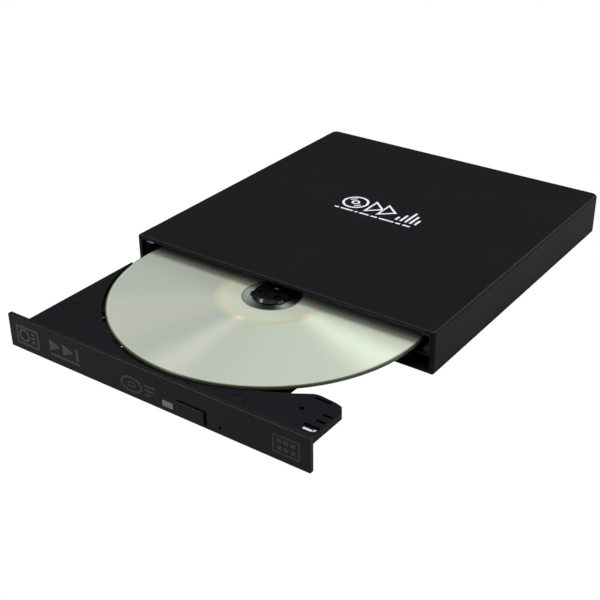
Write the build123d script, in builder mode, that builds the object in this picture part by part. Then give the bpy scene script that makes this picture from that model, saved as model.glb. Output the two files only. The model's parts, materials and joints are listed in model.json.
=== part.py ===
from build123d import *
from math import cos, radians, sin
import os

# Slim external optical drive, standing on its rubber feet with the tray pulled out and a disc on
# the hub. Millimetres. Row frame: +X to the right seen from the front, +Y to the back, +Z up,
# origin on the desk under the middle of the whole footprint.
# Every piece is built on the plane "desk", which has the row's axes and stands on the desk at the
# case's front face, so Y values below are distances behind the front of the case (negative is out
# on the tray) and Z values are heights above the desk.

# ---- driving dimensions: the case ----
case_width, case_depth, case_height = 132.5, 137.3, 16.8
foot_stand = 0.8                       # how far the feet hold the case off the desk
floor_thick, roof_thick, wall_rear = 1.5, 1.5, 1.9
upper_wall, lower_wall = 1.95, 2.35    # side walls above and below the seam
seam_z = 8.8
rear_corner, top_round, bottom_round, mouth_round = 3.0, 1.2, 0.9, 0.8

# ---- driving dimensions: the slim drive inside ----
tray_out = 69.1                        # bezel's face in front of the case as it stands
drive_bottom, drive_top = 2.7, 15.4
drive_front, drive_rear = 1.9, 130.4
drive_half = 63.6
sheet = 0.6                            # chassis sheet steel
step_x, shelf_z = 45.0, 6.6            # the chassis is shallow to the right of this step

# ---- driving dimensions: tray, disc, spindle and sled ----
tray_left, tray_cut, tray_right = -61.7, 41.0, 60.4
front_cut = 39.2                       # the floor's right edge beside the wing
tray_front, tray_back = -67.2, 60.0
tray_top, recess_z, plate_bottom = 10.3, 8.6, 7.8
tray_bottom = 4.2
disc_radius, disc_hole, disc_bottom, disc_top = 60.0, 7.5, 9.56, 10.76
recess_radius, rotor_opening = 61.3, 17.5
spindle_x = -1.0
sled_angle = 55.0                      # the sled runs outwards at this angle from -X towards -Y
lens_radius = 24.0
rod_radius, rod_z = 1.0, 5.95
main_rod_y, sub_rod_y, screw_y = -15.0, 15.0, -18.6
thread_pitch, thread_radius, groove_radius = 3.0, 1.2, 0.5

# ---- derived values ----
half_width = case_width / 2
case_top_z = foot_stand + case_height
floor_top, roof_under = foot_stand + floor_thick, case_top_z - roof_thick
upper_inner, lower_inner = half_width - upper_wall, half_width - lower_wall
rear_inner = case_depth - wall_rear
bezel_face = -tray_out
case_front = (tray_out - case_depth) / 2
pan_floor = drive_bottom + sheet
pan_top = drive_top - sheet
inner_half = drive_half - sheet
shelf_top = shelf_z + sheet
sled_dir = (-cos(radians(sled_angle)), -sin(radians(sled_angle)), 0)
screw_post = (upper_inner - 2.8, rear_inner - 2.5)

desk = Plane(origin=(0, case_front, 0))
sled = Plane(origin=(spindle_x, case_front, 0), x_dir=sled_dir, z_dir=(0, 0, 1))
hub = Plane(origin=(spindle_x, case_front, 0))
CENTRE_UP = (Align.CENTER, Align.CENTER, Align.MIN)
LOW_CORNER = (Align.MIN, Align.MIN, Align.MIN)

os.makedirs("parts", exist_ok=True)


# ---- small helpers, used inside the sub-part blocks ----
def block(xs, ys, zs, mode=Mode.ADD):
    """A box between two X, two Y and two Z values."""
    with Locations((xs[0], ys[0], zs[0])):
        Box(xs[1] - xs[0], ys[1] - ys[0], zs[1] - zs[0], align=LOW_CORNER, mode=mode)


def post(x, y, zs, radius, mode=Mode.ADD):
    """An upright cylinder between two Z values."""
    with Locations((x, y, zs[0])):
        Cylinder(radius, zs[1] - zs[0], align=CENTRE_UP, mode=mode)


def rod_x(xs, y, z, radius, mode=Mode.ADD):
    """A cylinder along X between two X values."""
    with Locations(((xs[0] + xs[1]) / 2, y, z)):
        Cylinder(radius, xs[1] - xs[0], rotation=(0, 90, 0), mode=mode)


def rod_y(x, ys, z, radius, mode=Mode.ADD):
    """A cylinder along Y between two Y values."""
    with Locations((x, (ys[0] + ys[1]) / 2, z)):
        Cylinder(radius, ys[1] - ys[0], rotation=(90, 0, 0), mode=mode)


def turned(points):
    """A solid of revolution about the hub axis from (radius, height) points."""
    with BuildSketch(Plane(origin=hub.origin, x_dir=(1, 0, 0), z_dir=(0, -1, 0))) as profile:
        with BuildLine():
            Polyline(*points, close=True)
        make_face()
    revolve(profile.sketch, axis=Axis(hub.origin, (0, 0, 1)))


def cross_recess(x, y, z, radius, depth):
    """The cross in a screw's head, cut from the head's face at z by a signed depth."""
    zs = sorted((z - depth, z + depth))
    for wide, deep in ((radius, 0.15), (0.15, radius)):
        block((x - wide, x + wide), (y - deep, y + deep), zs, mode=Mode.SUBTRACT)


def sunk_screw(x, y, head_z, tip_z, shank, head, depth):
    """A countersunk screw driven upwards, with its flat head at head_z."""
    with Locations((x, y, head_z + depth / 2)):
        Cone(head, shank, depth)
    post(x, y, (head_z + depth, tip_z), shank)
    cross_recess(x, y, head_z, head * 0.6, 0.4)


def flat_screw(x, y, head_z, tip_z, shank, head, depth):
    """A flat-headed screw; the head stands depth away from head_z, on the side away from the tip."""
    away = depth if head_z > tip_z else -depth
    post(x, y, sorted((head_z, head_z + away)), head)
    post(x, y, sorted((head_z, tip_z)), shank)
    cross_recess(x, y, head_z + away, head * 0.6, depth / 2)


def save(piece, name):
    """Label the finished piece and write its STEP file."""
    piece.part.label = name
    export_step(piece.part, f"parts/{name}.step")


def shell_half(shell, zs, rounded_face, radius):
    """One half of the case: a slab whose rear corners and outer long edges are round and whose
    front is cut square, with a small round on the rim of the mouth."""
    spare = 12.0
    with BuildSketch(desk.offset(zs[0])) as outline:
        with Locations((0, (case_depth - spare) / 2)):
            Rectangle(case_width, case_depth + spare)
        fillet(outline.vertices().group_by(Axis.Y)[-1], radius=rear_corner)
    extrude(outline.sketch, amount=zs[1] - zs[0])
    fillet(shell.faces().sort_by(Axis.Z)[rounded_face].outer_wire().edges(), radius=radius)
    block((-half_width - 1, half_width + 1), (-spare - 1, 0), (zs[0] - 1, zs[1] + 1), mode=Mode.SUBTRACT)
    rim = shell.edges().filter_by_position(Axis.Y, case_front - 0.001, case_front + 0.001)
    fillet(rim.filter_by(lambda edge: abs(edge.center().Z - seam_z) > 0.01), radius=mouth_round)


# ---- case: upper and lower shells ----
seam_clear = 0.1
mouth_left, mouth_right = -63.8, 64.4
socket_x, socket_half, socket_zs = 53.0, 3.85, (2.5, 6.4)
foot_spots = {
    "front_left": (-54, 14), "front_right": (54, 14), "rear_left": (-54, 121), "rear_right": (54, 121),
}
foot_radius, foot_seat = 5.0, 0.4
drive_screw_spots = ((50.5, 32), (50.5, 84))
pad_spots = ((-54, 14), (38, 14), (-54, 121), (38, 121))
bridge_screw_spots = ((50.0, 98.5), (60.0, 98.5))
bridge_z = 3.0

with BuildPart(desk) as case_top:
    shell_half(case_top, (seam_z, case_top_z), -1, top_round)
    block((-upper_inner, upper_inner), (-1, rear_inner), (seam_z - 1, roof_under), mode=Mode.SUBTRACT)
    block((mouth_left, mouth_right), (-1, drive_front), (seam_z - 1, roof_under), mode=Mode.SUBTRACT)
    for side in (-1, 1):
        post(side * screw_post[0], screw_post[1], (floor_top, roof_under), 2.0)
        post(side * screw_post[0], screw_post[1], (floor_top - 1, 10.0), 0.9, mode=Mode.SUBTRACT)
    for rib_y in (30, 70, 110):
        block((-40, 40), (rib_y, rib_y + 1.2), (roof_under - 0.4, roof_under))
save(case_top, "case_top")

with BuildPart(desk) as case_bottom:
    shell_half(case_bottom, (foot_stand, seam_z), 0, bottom_round)
    block((-lower_inner, lower_inner), (-1, rear_inner), (floor_top, seam_z + 1), mode=Mode.SUBTRACT)
    for side in (-1, 1):
        xs = sorted((side * lower_inner, side * (upper_inner - seam_clear)))
        block(xs, (3, 130), (seam_z, seam_z + 0.8))
    block((mouth_left, mouth_right), (-1, drive_front), (floor_top, seam_z + 1), mode=Mode.SUBTRACT)
    block((socket_x - 4.1, socket_x + 4.1), (rear_inner - 1, case_depth + 1), (2.4, 6.6),
          mode=Mode.SUBTRACT)
    for x, y in pad_spots:
        post(x, y, (floor_top, drive_bottom), 3.0)
    for x, y in drive_screw_spots:
        post(x, y, (floor_top, shelf_z), 2.4)
    for x, y in bridge_screw_spots:
        post(x, y, (floor_top, bridge_z), 2.0)
        post(x, y, (floor_top - 0.8, bridge_z), 0.7, mode=Mode.SUBTRACT)
    for x, y in foot_spots.values():
        post(x, y, (foot_stand - 1, foot_stand + foot_seat), foot_radius + 0.1, mode=Mode.SUBTRACT)
    sunk_spots = [(side * screw_post[0], screw_post[1]) for side in (-1, 1)] + list(drive_screw_spots)
    for x, y in sunk_spots:
        post(x, y, (0, shelf_z + 1), 1.1, mode=Mode.SUBTRACT)
        with Locations((x, y, foot_stand + 0.45)):
            Cone(2.0, 1.1, 0.9, mode=Mode.SUBTRACT)
save(case_bottom, "case_bottom")

for place, (x, y) in foot_spots.items():
    with BuildPart(desk) as foot:
        post(x, y, (0, foot_stand + foot_seat), foot_radius)
        fillet(foot.edges().group_by(Axis.Z)[0], radius=0.35)
    save(foot, f"foot_{place}")

with BuildPart(desk) as case_screws:
    for side in (-1, 1):
        sunk_screw(side * screw_post[0], screw_post[1], foot_stand, 9.4, 0.9, 1.9, 0.9)
save(case_screws, "case_screws")

with BuildPart(desk) as drive_screws:
    for x, y in drive_screw_spots:
        sunk_screw(x, y, foot_stand, shelf_top + 0.7, 1.0, 1.9, 0.9)
save(drive_screws, "drive_screws")

# ---- chassis: stepped sheet-metal pan and its cover ----
flange = 3.6
cover_screw_spots = [(side * 61.8, y) for side in (-1, 1) for y in (12, 118)]
board_screw_spots = ((-52, 103), (33, 103), (-52, 125))
latch_post_spot = (37.2, 13.5)
board_z, board_thick = 3.9, 0.8
connector_half = 21.0

with BuildPart(desk) as chassis_pan:
    block((-drive_half, step_x + sheet), (drive_front, drive_rear), (drive_bottom, pan_top))
    block((step_x, drive_half), (drive_front, drive_rear), (shelf_z, pan_top))
    front = drive_front - 1
    block((-inner_half, step_x), (front, drive_rear - sheet), (pan_floor, pan_top + 1), mode=Mode.SUBTRACT)
    block((step_x - 1, inner_half), (front, drive_rear - sheet), (shelf_top, pan_top + 1), mode=Mode.SUBTRACT)
    for side in (-1, 1):
        xs = sorted((side * drive_half, side * (drive_half - flange)))
        block(xs, (drive_front, drive_rear), (pan_top - sheet, pan_top))
    for x, y in cover_screw_spots:
        post(x, y, (pan_top - sheet - 1, pan_top + 1), 0.7, mode=Mode.SUBTRACT)
    for x, y in board_screw_spots:
        post(x, y, (pan_floor, board_z), 2.0)
        post(x, y, (drive_bottom + 0.2, board_z + 1), 0.7, mode=Mode.SUBTRACT)
    for x, y in drive_screw_spots:
        post(x, y, (shelf_top, shelf_top + 0.8), 1.8)
        post(x, y, (shelf_z - 1, shelf_top + 2), 1.0, mode=Mode.SUBTRACT)
    block((-connector_half - 0.3, connector_half + 0.3), (drive_rear - 1, drive_rear + 1), (4.4, 7.6),
          mode=Mode.SUBTRACT)
save(chassis_pan, "chassis_pan")

with BuildPart(desk) as chassis_cover:
    block((-drive_half, drive_half), (drive_front, drive_rear), (pan_top, drive_top))
    chamfer(chassis_cover.edges().filter_by(Axis.Z), length=1.0)
    for x, y in cover_screw_spots:
        post(x, y, (pan_top - 1, drive_top + 1), 0.9, mode=Mode.SUBTRACT)
save(chassis_cover, "chassis_cover")

with BuildPart(desk) as cover_screws:
    for x, y in cover_screw_spots:
        flat_screw(x, y, drive_top, pan_top - 1.6, 0.7, 1.4, 0.45)
save(cover_screws, "cover_screws")

# ---- guides fixed in the chassis ----
guide_front, guide_back = 3.0, 126.0

with BuildPart(desk) as left_guide:
    block((-inner_half, -62.5), (guide_front, guide_back), (3.9, 8.1))
    block((-inner_half, -60.4), (guide_front, guide_back), (3.9, 4.5))
    block((-inner_half, -62.0), (guide_front, guide_back), (7.5, 8.1))
save(left_guide, "left_guide")

with BuildPart(desk) as centre_guide:
    block((44.2, step_x), (guide_front, guide_back), (3.9, 6.5))
    for z in (3.9, 5.9):
        block((41.6, step_x), (guide_front, guide_back), (z, z + 0.6))
save(centre_guide, "centre_guide")

with BuildPart(desk) as right_guide:
    block((60.4, inner_half), (drive_front + 0.4, 60), (shelf_top, shelf_top + 0.4))
    block((60.8, inner_half), (drive_front + 0.4, 60), (shelf_top, 9.3))
save(right_guide, "right_guide")

with BuildPart(desk) as latch_post:
    post(*latch_post_spot, (pan_floor, 6.2), 0.9)
    post(*latch_post_spot, (pan_floor, pan_floor + 0.4), 1.6)
save(latch_post, "latch_post")

# ---- drive electronics at the back of the pan ----
board_top = board_z + board_thick

with BuildPart(desk) as main_board:
    block((-56, 37), (99.5, 128.5), (board_z, board_top))
    for x, y in board_screw_spots:
        post(x, y, (board_z - 1, board_top + 1), 0.9, mode=Mode.SUBTRACT)
save(main_board, "main_board")

with BuildPart(desk) as main_chips:
    for x, y, wide, deep, high in (
        (-24, 108, 14, 14, 1.2), (4, 107, 10, 10, 1.2), (22, 113, 8, 5, 1.0), (-42, 114, 6, 5, 1.0),
    ):
        block((x, x + wide), (y, y + deep), (board_top, board_top + high))
save(main_chips, "main_chips")

with BuildPart(desk) as flex_connector:
    block((-16, 16), (100.5, 104.5), (board_top, board_top + 1.6))
    block((-14.5, 14.5), (100.2, 103.4), (board_top + 0.5, board_top + 0.9), mode=Mode.SUBTRACT)
save(flex_connector, "flex_connector")

with BuildPart(desk) as drive_connector:
    block((-connector_half, connector_half), (125.5, drive_rear + 0.1), (board_top, 7.3))
    block((-16, 16), (drive_rear, drive_rear + 2.6), (5.6, 6.4))
save(drive_connector, "drive_connector")

# ---- bridge board under the shelf, with its sockets ----
bridge_top = bridge_z + 0.8
strip_ys = (130.9, 135.1)

with BuildPart(desk) as bridge_board:
    block((46.5, 63.4), (95, 130), (bridge_z, bridge_top))
    block((-25, 58.9), strip_ys, (bridge_z, bridge_top))
    block((46.5, 58.9), (129, strip_ys[1]), (bridge_z, bridge_top))
    block((socket_x - 4.0, socket_x + 4.0), (127.8, 140), (bridge_z - 1, bridge_top + 1),
          mode=Mode.SUBTRACT)
    for x, y in bridge_screw_spots:
        post(x, y, (bridge_z - 1, bridge_top + 1), 0.9, mode=Mode.SUBTRACT)
save(bridge_board, "bridge_board")

with BuildPart(desk) as bridge_chips:
    for x, y, wide, deep, high in (
        (50.5, 108, 7, 7, 1.0), (50, 120, 5, 3.2, 1.4), (58.5, 118, 3.2, 2.5, 0.9), (59, 106, 3, 6, 1.2),
    ):
        block((x, x + wide), (y, y + deep), (bridge_top, bridge_top + high))
save(bridge_chips, "bridge_chips")

with BuildPart(desk) as bridge_receptacle:
    block((-23, 23), (drive_rear + 0.3, 134.9), (bridge_top, 7.8))
    block((-16.4, 16.4), (drive_rear - 1, drive_rear + 3.0), (5.3, 6.7), mode=Mode.SUBTRACT)
save(bridge_receptacle, "bridge_receptacle")

with BuildPart(desk) as board_screws:
    for x, y in board_screw_spots:
        flat_screw(x, y, board_top, drive_bottom + 0.4, 0.7, 1.5, 0.6)
    for x, y in bridge_screw_spots:
        flat_screw(x, y, bridge_top, floor_top - 0.5, 0.7, 1.5, 0.6)
save(board_screws, "board_screws")

socket_ys = (128.0, case_depth - 0.3)
socket_mid = sum(socket_zs) / 2


def socket_prism(plane, inset, length, mode=Mode.ADD):
    """The small five-pin socket's waisted outline, full width above and narrower below, drawn out."""
    half, low, high = socket_half - inset, socket_zs[0] + inset, socket_zs[1] - inset
    waist = half - 0.8
    with BuildSketch(plane) as outline:
        with BuildLine():
            Polyline((-half, high), (half, high), (half, socket_mid), (waist, low + 0.4), (waist, low),
                     (-waist, low), (-waist, low + 0.4), (-half, socket_mid), close=True)
        make_face()
    extrude(outline.sketch, amount=length, mode=mode)


with BuildPart() as usb_shell:
    back = Plane(origin=(socket_x, case_front + socket_ys[0], 0), x_dir=(1, 0, 0), z_dir=(0, -1, 0))
    mouth = Plane(origin=(socket_x, case_front + socket_ys[0] + 0.3, 0), x_dir=(1, 0, 0), z_dir=(0, -1, 0))
    socket_prism(back, 0, socket_ys[0] - socket_ys[1])
    socket_prism(mouth, 0.3, socket_ys[0] - socket_ys[1] - 1, mode=Mode.SUBTRACT)
save(usb_shell, "usb_shell")

with BuildPart(desk) as usb_tongue:
    block((socket_x - 2.7, socket_x + 2.7), (socket_ys[0] + 0.3, 130.6), (2.9, 6.05))
    block((socket_x - 2.5, socket_x + 2.5), (130.6, 135.6), (4.0, 4.9))
save(usb_tongue, "usb_tongue")

with BuildPart(desk) as usb_contacts:
    for step in range(5):
        x = socket_x + (step - 2) * 0.8
        block((x - 0.2, x + 0.2), (130.6, 135.2), (4.9, 5.02))
save(usb_contacts, "usb_contacts")

# ---- left telescopic rail, which runs out half as far as the tray ----
with BuildPart(desk) as left_rail:
    block((-62.4, -60.2), (-32, 60), (4.6, 7.4))
    block((-61.2, -60.0), (-33, 61), (5.2, 6.8), mode=Mode.SUBTRACT)
save(left_rail, "left_rail")

# ---- tray ----
wall_xs = ((-59.6, -58.4), (tray_cut - 1.2, tray_cut))
shield_screw_spots = ((-56.9, -63), (0, -63), (-56.9, 26), (30.5, 26))
tray_board_spots = ((5.5, -58.4), (25.5, -58.4))
tray_board_z = 4.9
clip_xs = (-52, -10, 36)
damper_spots = ((-13, -17.5), (-13, 14.5), (44, 22))
latch_pivot = (34.0, -47.5)
window_xs, window_half = (14.0, 64.0), 13.0
pinhole_x, pinhole_z = 30.5, 5.5
button_xs, button_zs = (13.3, 24.3), (4.2, 8.75)
button_gap_right, button_gap_top = 0.85, 0.65
lens_xs, lens_zs = (6.9, 11.3), (4.7, 7.0)


wall_gap = (-47.8, -31.0)              # the right wall is open here, beside the wing
cut_step = -31.0
notch_start, notch_end = (31.0, -52.3), (41.8, -46.7)


def tray_slab(zs):
    """The tray seen from above: main body, cut straight at the right, and the front wing."""
    with BuildSketch(desk.offset(zs[0])) as outline:
        with BuildLine():
            Polyline((47.1, -43.3), notch_end, (front_cut, -45.2), (front_cut, cut_step),
                     (tray_cut, cut_step + 1.8), (tray_cut, tray_back - 4), (tray_cut - 4, tray_back),
                     (tray_left + 4, tray_back), (tray_left, tray_back - 4), (tray_left, tray_front),
                     (tray_right, tray_front), (tray_right, -46.6), (58.7, -44.1))
            Spline((58.7, -44.1), (56.0, -43.3), (52.4, -42.9), (49.2, -42.7), (47.1, -43.3))
        make_face()
    extrude(outline.sketch, amount=zs[1] - zs[0])


def sled_slot(xs, ys, zs):
    """Cut a box given in the sled's own directions."""
    with BuildSketch(sled.offset(zs[0])) as outline:
        with Locations(((xs[0] + xs[1]) / 2, (ys[0] + ys[1]) / 2)):
            Rectangle(xs[1] - xs[0], ys[1] - ys[0])
    extrude(outline.sketch, amount=zs[1] - zs[0], mode=Mode.SUBTRACT)


with BuildPart(desk) as tray:
    tray_slab((plate_bottom, tray_top))
    block(wall_xs[0], (tray_front, tray_back - 3), (tray_bottom, plate_bottom))
    block(wall_xs[1], (tray_front, wall_gap[0]), (tray_bottom, plate_bottom))
    block(wall_xs[1], (wall_gap[1] + 1.8, tray_back - 3), (tray_bottom, plate_bottom))
    block((wall_xs[0][0], tray_cut), (tray_front, tray_front + 1.2), (tray_bottom, plate_bottom))
    block((-61.0, wall_xs[0][0]), (-64, 57), (5.4, 6.6))
    block((tray_cut, 43.8), (5, 57), (4.7, 5.7))
    block((57.0, 59.4), (-54.8, -51.2), (7.45, plate_bottom))
    for x, y in shield_screw_spots:
        post(x, y, (tray_bottom, plate_bottom), 1.9)
        post(x, y, (tray_bottom - 1, 7.6), 0.7, mode=Mode.SUBTRACT)
    for x, y in tray_board_spots:
        post(x, y, (tray_board_z + board_thick, plate_bottom), 1.3)
        post(x, y, (tray_board_z, 7.6), 0.6, mode=Mode.SUBTRACT)
    post(*latch_pivot, (5.8, plate_bottom), 1.7)
    post(*latch_pivot, (5, plate_bottom - 0.1), 0.8, mode=Mode.SUBTRACT)
    with BuildSketch(sled.offset(plate_bottom - 0.5)):
        with Locations(*damper_spots):
            Circle(2.0)
    extrude(amount=0.5)
    with BuildSketch(sled.offset(plate_bottom - 0.6)):
        with Locations(*damper_spots):
            Circle(0.6)
    extrude(amount=1.1, mode=Mode.SUBTRACT)
    post(spindle_x, 0, (recess_z, tray_top + 1), recess_radius, mode=Mode.SUBTRACT)
    post(spindle_x, 0, (plate_bottom - 1, tray_top + 1), rotor_opening, mode=Mode.SUBTRACT)
    with BuildSketch(desk.offset(recess_z)):
        with BuildLine():
            Polyline(notch_start, notch_end, (tray_cut + 1, -40), (notch_start[0], -40), close=True)
        make_face()
    extrude(amount=tray_top + 1 - recess_z, mode=Mode.SUBTRACT)
    sled_slot(window_xs, (-window_half, window_half), (plate_bottom - 0.1, recess_z))
    block((5, 27), (tray_front - 1, -60), (2, 9.7), mode=Mode.SUBTRACT)
    rod_y(pinhole_x, (tray_front - 1, tray_front + 2), pinhole_z, 0.7, mode=Mode.SUBTRACT)
    for x in clip_xs:
        block((x - 3.2, x + 3.2), (tray_front - 1, tray_front + 1.3), (5.2, 6.8), mode=Mode.SUBTRACT)
    # slots, holes and marks moulded in the wing and along the front
    for y, x_from, x_to in (
        (-44.5, 48.8, 55.4), (-50.8, 56.2, 59.5), (-54.3, 56.2, 59.4), (-57.7, 54.0, 59.7),
    ):
        block((x_from, x_to), (y - 0.6, y + 0.6), (tray_top - 1.5, tray_top + 1), mode=Mode.SUBTRACT)
    post(48.9, -51.7, (plate_bottom - 1, tray_top + 1), 0.9, mode=Mode.SUBTRACT)
    post(11.2, -61.6, (tray_top - 0.7, tray_top + 1), 0.8, mode=Mode.SUBTRACT)
    for x, y in ((-54.3, -45.5), (29.5, -58.5)):
        with BuildSketch(desk.offset(tray_top)):
            with Locations((x, y)):
                Circle(2.6)
                Circle(2.1, mode=Mode.SUBTRACT)
                with Locations((0, -2.6)):
                    Rectangle(6, 4.2, mode=Mode.SUBTRACT)
        extrude(amount=0.2)
save(tray, "tray")

# ---- bezel, button, light and the small board behind them ----
with BuildPart(desk) as bezel:
    block((-63.5, 64.1), (bezel_face, tray_front), (drive_bottom, drive_top))
    rim = bezel.faces().sort_by(Axis.Y)[0].outer_wire().edges()
    fillet(rim, radius=0.5)
    block((button_xs[0] - 0.25, button_xs[1] + button_gap_right), (bezel_face - 1, tray_front + 1),
          (button_zs[0] - 0.2, button_zs[1] + button_gap_top), mode=Mode.SUBTRACT)
    block(lens_xs, (bezel_face - 1, tray_front + 1), lens_zs, mode=Mode.SUBTRACT)
    rod_y(pinhole_x, (bezel_face - 1, tray_front + 1), pinhole_z, 0.6, mode=Mode.SUBTRACT)
    for x in clip_xs:
        block((x - 3, x + 3), (tray_front, tray_front + 2.0), (5.4, 6.4))
        block((x - 3, x + 3), (tray_front + 1.3, tray_front + 2.0), (5.4, 7.1))
save(bezel, "bezel")

with BuildPart(desk) as eject_button:
    block(button_xs, (bezel_face - 0.5, tray_front + 0.2), button_zs)
    fillet(eject_button.faces().sort_by(Axis.Y)[0].outer_wire().edges(), radius=0.35)
    block((12.5, 25.7), (tray_front + 0.05, tray_front + 0.6), (3.75, 9.5))
    rod_y(19.1, (tray_front + 0.6, -64.6), 6.85, 0.7)
save(eject_button, "eject_button")

with BuildPart(desk) as led_lens:
    gap = 0.05
    xs, zs = (lens_xs[0] + gap, lens_xs[1] - gap), (lens_zs[0] + gap, lens_zs[1] - gap)
    block(xs, (bezel_face - 0.05, tray_front), zs)
    block((7.4, 10.8), (tray_front, -64.4), (5.8, 6.9))
save(led_lens, "led_lens")

tray_board_top = tray_board_z + board_thick

with BuildPart(desk) as tray_board:
    block((3, 28), (-65.6, -56.8), (tray_board_z, tray_board_top))
    for x, y in tray_board_spots:
        post(x, y, (tray_board_z - 1, tray_board_top + 1), 0.75, mode=Mode.SUBTRACT)
save(tray_board, "tray_board")

with BuildPart(desk) as eject_switch:
    block((16.6, 21.6), (-64.8, -61.0), (tray_board_top, 8.0))
    rod_y(19.1, (-66, -63.4), 6.85, 0.9, mode=Mode.SUBTRACT)
save(eject_switch, "eject_switch")

with BuildPart(desk) as activity_led:
    block((7.8, 10.4), (-63.9, -62.6), (tray_board_top, 6.9))
    rod_y(9.1, (-64.2, -63.9), 6.3, 0.5)
save(activity_led, "activity_led")

with BuildPart(desk) as tray_board_screws:
    for x, y in tray_board_spots:
        flat_screw(x, y, tray_board_z, 7.4, 0.6, 1.1, 0.4)
save(tray_board_screws, "tray_board_screws")

with BuildPart(desk) as tray_shield:
    shield_zs = (tray_bottom - 0.5, tray_bottom)
    block((-59.4, 32.5), (-65.8, 28.5), shield_zs)
    chamfer(tray_shield.edges().filter_by(Axis.Z), length=2.5)
    post(spindle_x, 0, (shield_zs[0] - 1, shield_zs[1] + 1), 6.0, mode=Mode.SUBTRACT)
    for row in range(3):
        block((-30, -8), (-50 + row * 5, -48.5 + row * 5), (shield_zs[0] - 1, shield_zs[1] + 1),
              mode=Mode.SUBTRACT)
    for x, y in shield_screw_spots:
        with Locations((x, y, sum(shield_zs) / 2)):
            Cone(1.3, 0.7, 0.5, mode=Mode.SUBTRACT)
save(tray_shield, "tray_shield")

with BuildPart(desk) as shield_screws:
    for x, y in shield_screw_spots:
        with Locations((x, y, tray_bottom - 0.25)):
            Cone(1.3, 0.7, 0.5)
        post(x, y, (tray_bottom, 7.2), 0.7)
        cross_recess(x, y, tray_bottom - 0.5, 0.7, 0.25)
save(shield_screws, "shield_screws")

# ---- tray latch: a hook on a pin, pulled clear by a small solenoid ----
latch_release = -24.0
latch_plane = Plane(
    origin=(latch_pivot[0], case_front + latch_pivot[1], 0),
    x_dir=(cos(radians(latch_release)), sin(radians(latch_release)), 0),
    z_dir=(0, 0, 1),
)

with BuildPart(latch_plane) as tray_latch:
    block((-1.0, 1.0), (-6.4, 1.2), (4.5, 5.7))
    block((-1.0, 4.4), (-6.4, -5.1), (4.5, 5.7))
    post(0, 0, (4.5, 5.7), 1.7)
    post(0, 0, (4, 6), 0.85, mode=Mode.SUBTRACT)
save(tray_latch, "tray_latch")

with BuildPart(desk) as latch_pin:
    post(*latch_pivot, (4.35, plate_bottom - 0.2), 0.8)
    post(*latch_pivot, (4.0, 4.4), 1.4)
save(latch_pin, "latch_pin")

with BuildPart(desk) as latch_solenoid:
    block((19.5, 28.0), (-55.5, -49.5), (4.6, plate_bottom))
    rod_x((28.0, 30.0), -52.5, 5.6, 0.8)
save(latch_solenoid, "latch_solenoid")

# ---- traverse: frame, dampers, rods, sled motor and lead screw, in the sled's directions ----
frame_zs = (4.6, 7.3)
motor_xs, motor_half = (3.2, 14.8), 1.7
journal = 0.6

with BuildPart(sled) as traverse_frame:
    block((-18, 65), (-22, 19), frame_zs)
    chamfer(traverse_frame.edges().filter_by(Axis.Z), length=2.0)
    block((15, 63), (-20.2, 17.3), (3, 9), mode=Mode.SUBTRACT)
    post(0, 0, (3, 9), 13.2, mode=Mode.SUBTRACT)
    block((motor_xs[0] - 0.5, 17), (-23, -16.4), (3, 9), mode=Mode.SUBTRACT)
    post(damper_spots[2][0], damper_spots[2][1], frame_zs, 4.2)
    for x, y in damper_spots:
        post(x, y, (3, 9), 2.6, mode=Mode.SUBTRACT)
    for y in (main_rod_y, sub_rod_y):
        rod_x((13.6, 64.2), y, rod_z, rod_radius, mode=Mode.SUBTRACT)
    rod_x((60, 64.3), screw_y, rod_z, journal + 0.05, mode=Mode.SUBTRACT)
save(traverse_frame, "traverse_frame")

with BuildPart(sled) as traverse_dampers:
    for x, y in damper_spots:
        post(x, y, frame_zs, 2.6)
        post(x, y, (3, 9), 1.2, mode=Mode.SUBTRACT)
save(traverse_dampers, "traverse_dampers")

with BuildPart(sled) as traverse_screws:
    for x, y in damper_spots:
        post(x, y, (4.3, frame_zs[0]), 2.2)
        post(x, y, frame_zs, 1.2)
        post(x, y, (frame_zs[1], plate_bottom + 0.3), 0.6)
        cross_recess(x, y, 4.3, 1.3, 0.15)
save(traverse_screws, "traverse_screws")

with BuildPart(sled) as guide_rods:
    for y in (main_rod_y, sub_rod_y):
        rod_x((13.6, 64.2), y, rod_z, rod_radius)
save(guide_rods, "guide_rods")

with BuildPart(sled) as sled_motor:
    rod_x(motor_xs, screw_y, rod_z, 2.0)
    block(motor_xs, (screw_y - 3, screw_y + 3), (rod_z + motor_half, rod_z + 4), mode=Mode.SUBTRACT)
    block(motor_xs, (screw_y - 3, screw_y + 3), (rod_z - 4, rod_z - motor_half), mode=Mode.SUBTRACT)
    rod_x((12.6, 17), screw_y, rod_z, journal + 0.05, mode=Mode.SUBTRACT)
save(sled_motor, "sled_motor")


def thread_section():
    """The lead screw's section: a circle with one groove cut in its rim."""
    with BuildSketch(Plane(origin=(0, 0, 0))) as section:
        Circle(thread_radius)
        with Locations((thread_radius, 0)):
            Circle(groove_radius, mode=Mode.SUBTRACT)
    return section.sketch.faces()[0]


thread_xs = (18.0, 62.0)
thread_turn = -360.0 * (thread_xs[1] - thread_xs[0]) / thread_pitch
# the groove faces up where the follower's tooth stands, under the lens
thread_start = 90.0 - thread_turn * (lens_radius - thread_xs[0]) / (thread_xs[1] - thread_xs[0])
thread = Solid.extrude_linear_with_rotation(
    thread_section(), (0, 0, 0), (0, 0, thread_xs[1] - thread_xs[0]), thread_turn
)
thread_place = Plane(
    origin=sled.from_local_coords(Vector(thread_xs[0], screw_y, rod_z)),
    x_dir=sled.from_local_coords(Vector(0, 1, 0)) - sled.origin,
    z_dir=sled_dir,
)

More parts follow.
